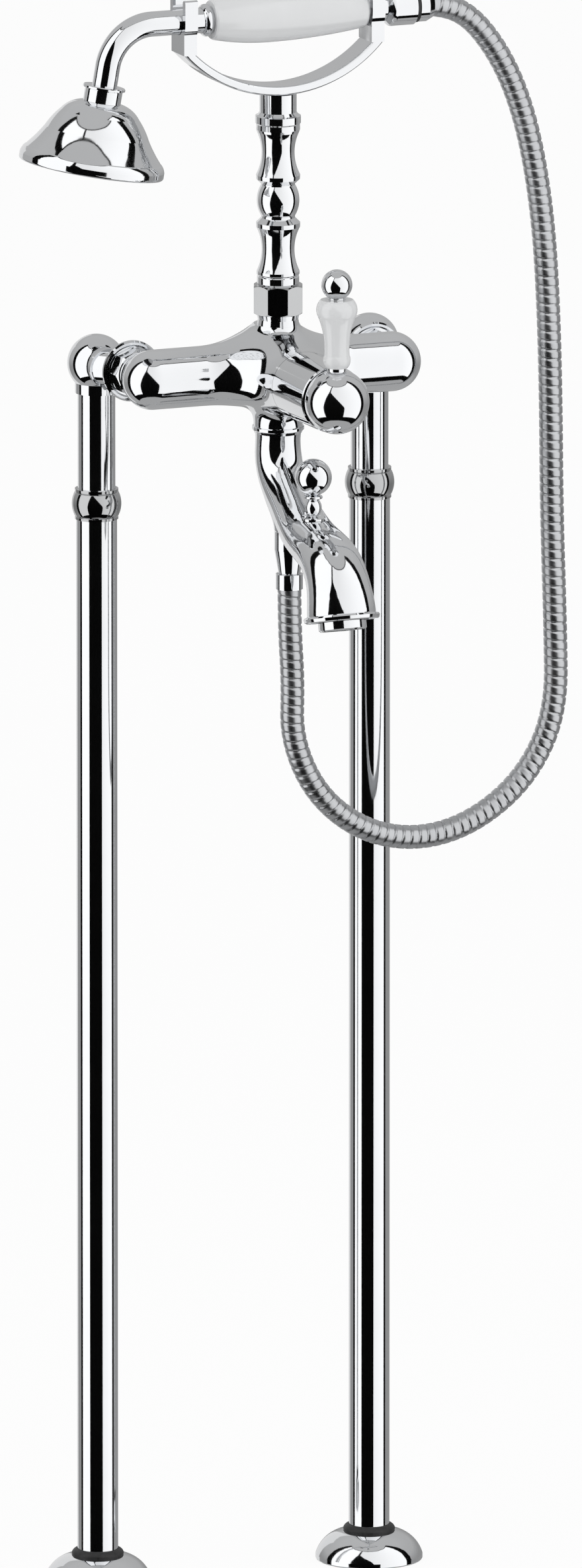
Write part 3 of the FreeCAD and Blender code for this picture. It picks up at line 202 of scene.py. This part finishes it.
# pieces cast in a mould and polished by hand keep low waves under the chrome
castPieces = ("mixer_body", "spout", "elbow_left", "elbow_right", "cradle", "rose_bell")
# turned pieces that are darker than the tubes beside them
turnedPieces = ("column_collar_left", "column_collar_right", "top_nut")


def finishNodes():
    special = dict.fromkeys(castPieces, metal("chromedCasting", castingLook))
    special.update(dict.fromkeys(turnedPieces, metal("chromedTurning", turningLook)))
    for entry in frame["record"]["subparts"]:
        mesh = nodes[entry["node"]].data
        mesh.materials.clear()
        mesh.materials.append(special.get(entry["node"], finishes[entry["material_slot"]]))


finishNodes()
print("finishes set on", len(nodes), "nodes")


# the metal hose, wound from a strip: diameters, pitch of the winding, points around it and along each turn,
# both ends of its route, and where it starts and stops giving way to the hand shower, in metres
hose = {"outside": 0.014, "groove": 0.0124, "pitch": 0.0054, "around": 24, "steps": 10, "grooveShare": 0.34,
        "start": (0.0863, -0.070, 0.943), "stop": (0.0, -0.0875, 0.615), "pathStep": 0.004,
        "stillBefore": (0.15, -0.08, 0.47), "liftedAfter": (0.35, -0.08, 0.67)}


def hoseRoute():
    # hangs from the hand shower, then loops up behind the spout to the outlet
    hanging = [(0.1000, -0.0700, 0.9430), (0.1190, -0.0702, 0.9355), (0.1360, -0.0706, 0.9150),
               (0.1490, -0.0714, 0.8890), (0.1585, -0.0728, 0.8550), (0.1650, -0.0745, 0.8100),
               (0.1675, -0.0765, 0.7600), (0.1684, -0.0782, 0.7040), (0.1683, -0.0800, 0.6380),
               (0.1700, -0.0815, 0.5720), (0.1705, -0.0825, 0.5190), (0.1520, -0.0830, 0.4820),
               (0.1195, -0.0835, 0.4575), (0.0840, -0.0840, 0.4490), (0.0480, -0.0845, 0.4570),
               (0.0180, -0.0852, 0.4810), (0.0018, -0.0860, 0.5160), (0.0025, -0.0870, 0.5500),
               (0.0000, -0.0875, 0.5840)]
    return [hose["start"]] + hanging + [hose["stop"]]


def splineLine(name, points):
    # a smooth line through the route's control points, read back as mesh points
    data = bpy.data.curves.new(name, "CURVE")
    data.dimensions = "3D"
    data.resolution_u = 24
    spline = data.splines.new("NURBS")
    spline.points.add(len(points) - 1)
    for control, point in zip(spline.points, points):
        control.co = (*point, 1.0)
    spline.order_u = 3
    spline.use_endpoint_u = True
    thing = bpy.data.objects.new(name, data)
    bpy.context.collection.objects.link(thing)
    bpy.context.view_layer.update()
    mesh = bpy.data.meshes.new_from_object(thing)
    line = [vertex.co.copy() for vertex in mesh.vertices]
    bpy.data.objects.remove(thing)
    bpy.data.meshes.remove(mesh)
    return line


def evenly(line, count):
    # count + 1 points at even steps along the line, and its length
    reached = [0.0]
    for here, there in zip(line, line[1:]):
        reached.append(reached[-1] + (there - here).length)
    found, index = [], 0
    for number in range(count + 1):
        reach = reached[-1] * number / count
        while index < len(line) - 2 and reached[index + 1] < reach:
            index += 1
        share = (reach - reached[index]) / (reached[index + 1] - reached[index])
        found.append(line[index].lerp(line[index + 1], min(1.0, share)))
    return found, reached[-1]


def woundRadius(turn):
    # the strip's back is nearly flat, and a groove runs between its turns
    phase = turn % 1.0
    near = min(phase, 1.0 - phase) / (hose["grooveShare"] / 2)
    deep = math.cos(math.pi / 2 * near) ** 2 if near < 1.0 else 0.0
    return hose["outside"] / 2 - (hose["outside"] - hose["groove"]) / 2 * deep


def woundTube(name, stations):
    # a ring of points at each station, kept level so that the hose doesn't twist
    level, around = Vector((0, 1, 0)), hose["around"]
    points, faces = [], []
    for index, centre in enumerate(stations):
        before, after = stations[max(index - 1, 0)], stations[min(index + 1, len(stations) - 1)]
        along = (after - before).normalized()
        side = (level - along * level.dot(along)).normalized()
        rise = along.cross(side)
        for step in range(around):
            angle = 2 * math.pi * step / around
            radius = woundRadius(index / hose["steps"] + step / around)
            points.append(centre + (side * math.cos(angle) + rise * math.sin(angle)) * radius)
    for ring in range(len(stations) - 1):
        for step in range(around):
            here, there = ring * around + step, ring * around + (step + 1) % around
            faces.append((here, there, there + around, here + around))
    faces.append(tuple(reversed(range(around))))
    faces.append(tuple(range((len(stations) - 1) * around, len(stations) * around)))
    mesh = bpy.data.meshes.new(name)
    mesh.from_pydata([tuple(point) for point in points], [], faces)
    mesh.update()
    thing = bpy.data.objects.new(name, mesh)
    bpy.context.collection.objects.link(thing)
    return thing


def ribbedHose():
    line = splineLine("hoseLine", hoseRoute())
    length = evenly(line, 1)[1]
    turns = round(length / hose["pitch"])
    piece = woundTube("ribbedHose", evenly(line, turns * hose["steps"])[0])
    for polygon in piece.data.polygons:
        polygon.use_smooth = len(polygon.vertices) == 4
    piece.data.materials.append(finishes["hose_chrome"])
    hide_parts("hose")
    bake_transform(piece)
    path = evenly(line, round(length / hose["pathStep"]))[0]
    print("hose of", round(length, 4), "m with", turns, "turns")


ribbedHose()

# the mixer's cast body, in metres: its hub points at the bather, its inlets back at the columns; spare is
# what the ends are made too long by before they are cut flat
casting = {"level": 0.7305, "armAhead": -0.060, "armRadius": 0.0175, "armHalf": 0.075, "flareHalf": 0.046,
           "centreAhead": -0.070, "seatRadius": 0.0123, "seatHigh": 0.0295, "hubRadius": 0.020,
           "hubEnd": -0.110, "hubFillet": 0.027, "spoutRadius": 0.0143, "spoutDrop": 0.0305,
           "spoutFillet": 0.010, "inletX": 0.076, "inletRadius": 0.0125, "inletEnd": -0.0425,
           "inletFillet": 0.004, "seatFillet": 0.004, "spare": 0.006, "voxel": 0.0009,
           "swellAcross": 0.12, "swellUp": 0.5, "slopeStep": 2e-5, "leastSlope": 0.2, "farthestMove": 0.003,
           "firstRounds": 8, "smoothings": 2, "smoothRounds": 4, "laterRounds": 5, "creaseAngle": 35,
           "boreSides": 64,
           # bores: radius, from, to
           "bores": ((0.01505, (0, -0.082, 0.7305), (0, -0.112, 0.7305)),
                     (0.0075, (0, -0.070, 0.7290), (0, -0.070, 0.6980)),
                     (0.0060, (0.076, -0.060, 0.7305), (0.076, -0.040, 0.7305)),
                     (0.0060, (-0.076, -0.060, 0.7305), (-0.076, -0.040, 0.7305)))}


# keeps a division from meeting zero
tiny = 1e-9


def joined(first, second, width):
    # the union of two forms, filled with a fillet of that width where they meet
    near = np.maximum(width - np.abs(first - second), 0.0)
    return np.minimum(first, second) - near * near / (4 * np.maximum(width, tiny))


def castingField(points):
    # the distance of each point outside the body, less than zero inside: the arms swell to the seat of the
    # shower support and run forward into the hub
    x, y, z = points[:, 0], points[:, 1], points[:, 2] - casting["level"]
    across = np.abs(x)
    armR, seatR, flare = casting["armRadius"], casting["seatRadius"], casting["flareHalf"]
    rise, spread = casting["seatHigh"] - armR, flare - seatR
    bend = (rise * rise + spread * spread) / (2 * rise)
    slope = spread / (bend - rise)
    arc = bend - np.sqrt(bend * bend - np.clip(flare - across, 0, spread) ** 2)
    crown = rise + slope * seatR * 0.5 * (1 - (across / seatR) ** 2)
    lift = np.where(across < seatR, crown, arc)
    share = np.clip((flare - across) / spread, 0, 1)
    ahead = (casting["armAhead"] - casting["centreAhead"]) * 0.5 * share * share * (3 - 2 * share)
    wide, tall = armR + lift * casting["swellAcross"], armR + lift * casting["swellUp"]
    fore, up = y - casting["armAhead"] + ahead, z - lift * casting["swellUp"]
    oval = np.sqrt((fore / wide) ** 2 + (up / tall) ** 2)
    arm = (oval - 1) * (wide + tall) / 2
    past = np.maximum(across - casting["armHalf"], 0)
    end = np.sqrt(past ** 2 + fore ** 2 + z ** 2) - armR
    body = np.where(across > casting["armHalf"], end, arm)
    # the hub's fillet is widest at its sides and fades out where its top is level with the arms
    reach = np.sqrt(x * x + z * z) + tiny
    hub = np.maximum(reach - casting["hubRadius"], y - casting["armAhead"])
    steep = np.sqrt((fore / wide ** 2) ** 2 + (up / tall ** 2) ** 2) + tiny
    alike = (z / reach) * (up / tall ** 2 / steep)
    body = joined(body, hub, casting["hubFillet"] * (1 - alike * alike))
    off = np.sqrt(x * x + (y - casting["centreAhead"]) ** 2)
    body = joined(body, np.maximum(off - seatR, -z), casting["seatFillet"])
    body = joined(body, np.maximum(off - casting["spoutRadius"], z), casting["spoutFillet"])
    inlet = np.sqrt((across - casting["inletX"]) ** 2 + z * z) - casting["inletRadius"]
    return joined(body, np.maximum(inlet, casting["armAhead"] - y), casting["inletFillet"])


def deselectAll():
    for thing in bpy.context.selected_objects:
        thing.select_set(False)


def barBetween(radius, first, last, around=48):
    # a round bar from one point to another
    first, last = Vector(first), Vector(last)
    along = last - first
    bpy.ops.mesh.primitive_cylinder_add(vertices=around, radius=radius, depth=along.length,
                                        location=(first + last) / 2,
                                        rotation=along.to_track_quat("Z", "Y").to_euler())
    return bpy.context.object


def castBlank():
    # bars and balls about the size of the body, made one skin
    level, spare = casting["level"], casting["spare"]
    ahead, centre, half = casting["armAhead"], casting["centreAhead"], casting["armHalf"]
    deselectAll()
    bars = [barBetween(casting["armRadius"], (-half, ahead, level), (half, ahead, level)),
            barBetween(casting["hubRadius"], (0, ahead, level), (0, casting["hubEnd"] - spare, level)),
            barBetween(casting["seatRadius"], (0, centre, level),
                       (0, centre, level + casting["seatHigh"] + spare)),
            barBetween(casting["spoutRadius"], (0, centre, level),
                       (0, centre, level - casting["spoutDrop"] - spare))]
    for side in (-1, 1):
        bars.append(barBetween(casting["inletRadius"], (side * casting["inletX"], ahead, level),
                               (side * casting["inletX"], casting["inletEnd"] + spare, level)))
        bpy.ops.mesh.primitive_uv_sphere_add(segments=48, ring_count=24, radius=casting["armRadius"],
                                             location=(side * half, ahead, level))
        bars.append(bpy.context.object)
    for bar in bars:
        bar.select_set(True)
    bpy.context.view_layer.objects.active = bars[0]
    bpy.ops.object.join()
    blank = bpy.context.object
    bpy.ops.object.transform_apply(location=True, rotation=True, scale=True)
    skin = blank.modifiers.new("skin", "REMESH")
    skin.mode = "VOXEL"
    skin.voxel_size = casting["voxel"]
    bpy.ops.object.modifier_apply(modifier=skin.name)
    return blank


def drawnTo(mesh, field, rounds):
    # moves every vertex along the field's slope until it lies on the surface
    points = np.empty(len(mesh.vertices) * 3)
    mesh.vertices.foreach_get("co", points)
    points = points.reshape(-1, 3)
    step, farthest = casting["slopeStep"], casting["farthestMove"]
    for turn in range(rounds):
        here = field(points)
        slope = np.stack([(field(points + shift) - field(points - shift)) / (2 * step)
                          for shift in np.eye(3) * step], axis=1)
        size = np.maximum((slope * slope).sum(axis=1), casting["leastSlope"])
        points -= slope * np.clip(here / size, -farthest, farthest)[:, None]
    mesh.vertices.foreach_set("co", points.reshape(-1))
    mesh.update()


def flatEnd(place, normal):
    # cuts off and closes what lies past a plane
    bpy.ops.object.mode_set(mode="EDIT")
    bpy.ops.mesh.select_all(action="SELECT")
    bpy.ops.mesh.bisect(plane_co=place, plane_no=normal, use_fill=True, clear_outer=True)
    bpy.ops.object.mode_set(mode="OBJECT")


def mixerCasting():
    body = castBlank()
    body.name = "mixerCasting"
    drawnTo(body.data, castingField, casting["firstRounds"])
    for turn in range(casting["smoothings"]):
        even = body.modifiers.new("even", "SMOOTH")
        even.iterations = casting["smoothRounds"]
        bpy.ops.object.modifier_apply(modifier=even.name)
        drawnTo(body.data, castingField, casting["laterRounds"])
    level = casting["level"]
    flatEnd((0, casting["hubEnd"], 0), (0, -1, 0))
    flatEnd((0, casting["inletEnd"], 0), (0, 1, 0))
    flatEnd((0, 0, level + casting["seatHigh"]), (0, 0, 1))
    flatEnd((0, 0, level - casting["spoutDrop"]), (0, 0, -1))
    for radius, first, last in casting["bores"]:
        drill = barBetween(radius, first, last, casting["boreSides"])
        hole = body.modifiers.new("bore", "BOOLEAN")
        hole.operation = "DIFFERENCE"
        hole.object = drill
        bpy.context.view_layer.objects.active = body
        bpy.ops.object.modifier_apply(modifier=hole.name)
        bpy.data.objects.remove(drill)
    deselectAll()
    body.select_set(True)
    bpy.ops.object.shade_smooth_by_angle(angle=math.radians(casting["creaseAngle"]))
    body.data.materials.clear()
    body.data.materials.append(nodes["mixer_body"].data.materials[0])
    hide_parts("mixer_body")
    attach(body, "stand")
    print("mixer body of", len(body.data.polygons), "faces")


mixerCasting()

# a light tent: sides in degrees round from the camera, heights and reach in metres
tent = {"reach": 2.0, "glowFrom": -0.8, "frameInside": 0.4, "frameReach": 2.04, "gapReach": 2.08,
        "clothReach": 2.6, "clothHigh": 10.0, "clothMiddle": 1.5, "grid": 32, "middle": -0.08, "low": -1.15,
        "frame": 14.0, "sill": 1.5, "lintel": 0.35, "leanFrom": 0.35, "leanTo": 2.4,
        "gapSides": (-52.0, 36.0),
        # each panel: its inner side, its outer side, how far its inner edge leans, low and high, the glow
        "panels": {"leftPanel": (-46.0, -92.0, 14.0, -1.15, 4.4, 1.25, 1.3),
                   "rightPanel": (27.0, 92.0, -53.0, -1.15, 4.4, 1.0, 1.25),
                   "backPanel": (188.0, 222.0, 0.0, -1.15, 1.4, 0.8, 0.8)},
        # the cloth's glow at heights: below the object, behind its columns, above it
        "cloth": ((-1.2, 0.42), (-0.5, 0.32), (0.15, 0.32), (0.9, 0.48), (3.0, 0.54))}


def wrapped(name, sides, low, high, lean, reach, material, lights):
    # a grid bent into an upright wall round the object; its first edge may lean above leanFrom
    deselectAll()
    bpy.ops.mesh.primitive_grid_add(x_subdivisions=tent["grid"], y_subdivisions=tent["grid"], size=1.0)
    wall = bpy.context.object
    wall.name = name
    for vertex in wall.data.vertices:
        across, height = vertex.co.x + 0.5, low + (high - low) * (vertex.co.y + 0.5)
        risen = (height - tent["leanFrom"]) / (tent["leanTo"] - tent["leanFrom"])
        first = sides[0] + lean * min(1.0, max(0.0, risen))
        angle = math.radians(photoView["azimuth"] + first + (sides[1] - first) * across)
        vertex.co = (math.sin(angle) * reach, tent["middle"] - math.cos(angle) * reach, height)
    wall.data.materials.append(material)
    wall.visible_camera = False
    wall.visible_shadow = False
    wall.visible_diffuse = lights


def glowing(name, axis, stops):
    # light whose strength follows one coordinate: stops are (place, strength)
    material = bpy.data.materials.new(name)
    material.use_nodes = True
    tree = material.node_tree
    tree.nodes.clear()
    place = tree.nodes.new("ShaderNodeTexCoord")
    split = tree.nodes.new("ShaderNodeSeparateXYZ")
    share = tree.nodes.new("ShaderNodeMapRange")
    first, last = stops[0][0], stops[-1][0]
    share.inputs["From Min"].default_value = first
    share.inputs["From Max"].default_value = last
    ramp = tree.nodes.new("ShaderNodeValToRGB")
    ramp.color_ramp.elements.remove(ramp.color_ramp.elements[1])
    for index, (height, strength) in enumerate(stops):
        spot = (height - first) / (last - first)
        stop = ramp.color_ramp.elements[0] if index == 0 else ramp.color_ramp.elements.new(spot)
        stop.position = spot
        stop.color = (strength, strength, strength, 1)
    lamp = tree.nodes.new("ShaderNodeEmission")
    output = tree.nodes.new("ShaderNodeOutputMaterial")
    tree.links.new(place.outputs["Object"], split.inputs["Vector"])
    tree.links.new(split.outputs[axis], share.inputs["Value"])
    tree.links.new(share.outputs["Result"], ramp.inputs["Fac"])
    tree.links.new(ramp.outputs["Color"], lamp.inputs["Color"])
    tree.links.new(lamp.outputs["Emission"], output.inputs["Surface"])
    return material


def lightTent():
    # white panels left, right and behind, black frames round them, a black gap where the camera looks in
    black, tree, shader = plainShader("blackFrame")
    shader.inputs["Base Color"].default_value = (0.003, 0.003, 0.003, 1)
    shader.inputs["Roughness"].default_value = 1.0
    shader.inputs["Specular IOR Level"].default_value = 0.0
    reach = tent["reach"]
    for name, (inner, outer, lean, low, high, first, last) in tent["panels"].items():
        white = glowing(name + "Glow", "X", ((tent["glowFrom"], first), (reach, last)))
        wrapped(name, (inner, outer), low, high, lean, reach, white, True)
        if name == "backPanel":
            # only the panels in front have black frames
            continue
        wider = tent["frame"] if outer > inner else -tent["frame"]
        wrapped(name + "Frame", (inner - wider * tent["frameInside"], outer + wider), low - tent["sill"],
                high + tent["lintel"], lean, tent["frameReach"], black, False)
    wrapped("cameraGap", tent["gapSides"], tent["low"] - tent["sill"], tent["leanTo"], 0.0,
            tent["gapReach"], black, False)
    # the grey cloth of the tent closes all round, also below the floor's edge
    bpy.ops.mesh.primitive_cylinder_add(vertices=64, radius=tent["clothReach"], depth=tent["clothHigh"])
    cloth = bpy.context.object
    cloth.name = "tentCloth"
    for vertex in cloth.data.vertices:
        vertex.co += Vector((0, tent["middle"], tent["clothMiddle"]))
    cloth.data.materials.append(glowing("tentGrey", "Z", tent["cloth"]))
    cloth.visible_camera = False
    cloth.visible_shadow = False
    cloth.visible_diffuse = False


# floorLift is how far the floor is lifted to white where the camera sees it
studio = {"fill": 0.80, "floorSize": 40.0, "floorTint": (0.90, 0.90, 0.90), "floorDull": 0.98,
          "floorLift": 0.90}


def rayKinds(tree, *kinds):
    # 1 for a ray of any of these kinds
    rays = tree.nodes.new("ShaderNodeLightPath")
    total = rays.outputs[kinds[0]]
    for kind in kinds[1:]:
        either = tree.nodes.new("ShaderNodeMath")
        either.operation = "MAXIMUM"
        tree.links.new(total, either.inputs[0])
        tree.links.new(rays.outputs[kind], either.inputs[1])
        total = either.outputs["Value"]
    return total


def mixed(tree, share, first, second):
    mix = tree.nodes.new("ShaderNodeMixShader")
    tree.links.new(share, mix.inputs["Fac"])
    tree.links.new(first, mix.inputs[1])
    tree.links.new(second, mix.inputs[2])
    return mix.outputs["Shader"]


def studioFloor():
    # seen nearly white, with the object's shadow; the chrome looks past it at the tent
    bpy.ops.mesh.primitive_plane_add(size=studio["floorSize"])
    floor = bpy.context.object
    floor.name = "studioFloor"
    material, tree, shader = plainShader("paleFloor")
    cloud = objectNoise(tree, 3.0, 3.0)
    darker = tuple(part * studio["floorDull"] for part in studio["floorTint"])
    tree.links.new(mottled(tree, cloud, darker, studio["floorTint"]), shader.inputs["Base Color"])
    shader.inputs["Roughness"].default_value = 0.9
    shader.inputs["Specular IOR Level"].default_value = 0.1
    white = tree.nodes.new("ShaderNodeEmission")
    lift = tree.nodes.new("ShaderNodeMath")
    lift.operation = "MULTIPLY"
    lift.inputs[1].default_value = studio["floorLift"]
    tree.links.new(rayKinds(tree, "Is Camera Ray"), lift.inputs[0])
    seen = mixed(tree, lift.outputs["Value"], shader.outputs["BSDF"], white.outputs["Emission"])
    clear = tree.nodes.new("ShaderNodeBsdfTransparent")
    through = mixed(tree, rayKinds(tree, "Is Glossy Ray", "Is Transmission Ray"), seen, clear.outputs["BSDF"])
    tree.links.new(through, tree.nodes["Material Output"].inputs["Surface"])
    floor.data.materials.append(material)


def studioWorld():
    # white wherever it is seen, and a plain even fill on the object
    sky = bpy.data.worlds.new("studioWorld")
    bpy.context.scene.world = sky
    sky.use_nodes = True
    tree = sky.node_tree
    tree.nodes.clear()
    fill = tree.nodes.new("ShaderNodeBackground")
    fill.inputs["Color"].default_value = (1, 1, 1, 1)
    fill.inputs["Strength"].default_value = studio["fill"]
    white = tree.nodes.new("ShaderNodeBackground")
    white.inputs["Color"].default_value = (1, 1, 1, 1)
    output = tree.nodes.new("ShaderNodeOutputWorld")
    seen = mixed(tree, rayKinds(tree, "Is Camera Ray", "Is Glossy Ray", "Is Transmission Ray"),
                 fill.outputs["Background"], white.outputs["Background"])
    tree.links.new(seen, output.inputs["Surface"])


lightTent()
studioFloor()
studioWorld()
bpy.context.scene.view_settings.view_transform = "Standard"
print("studio ready")
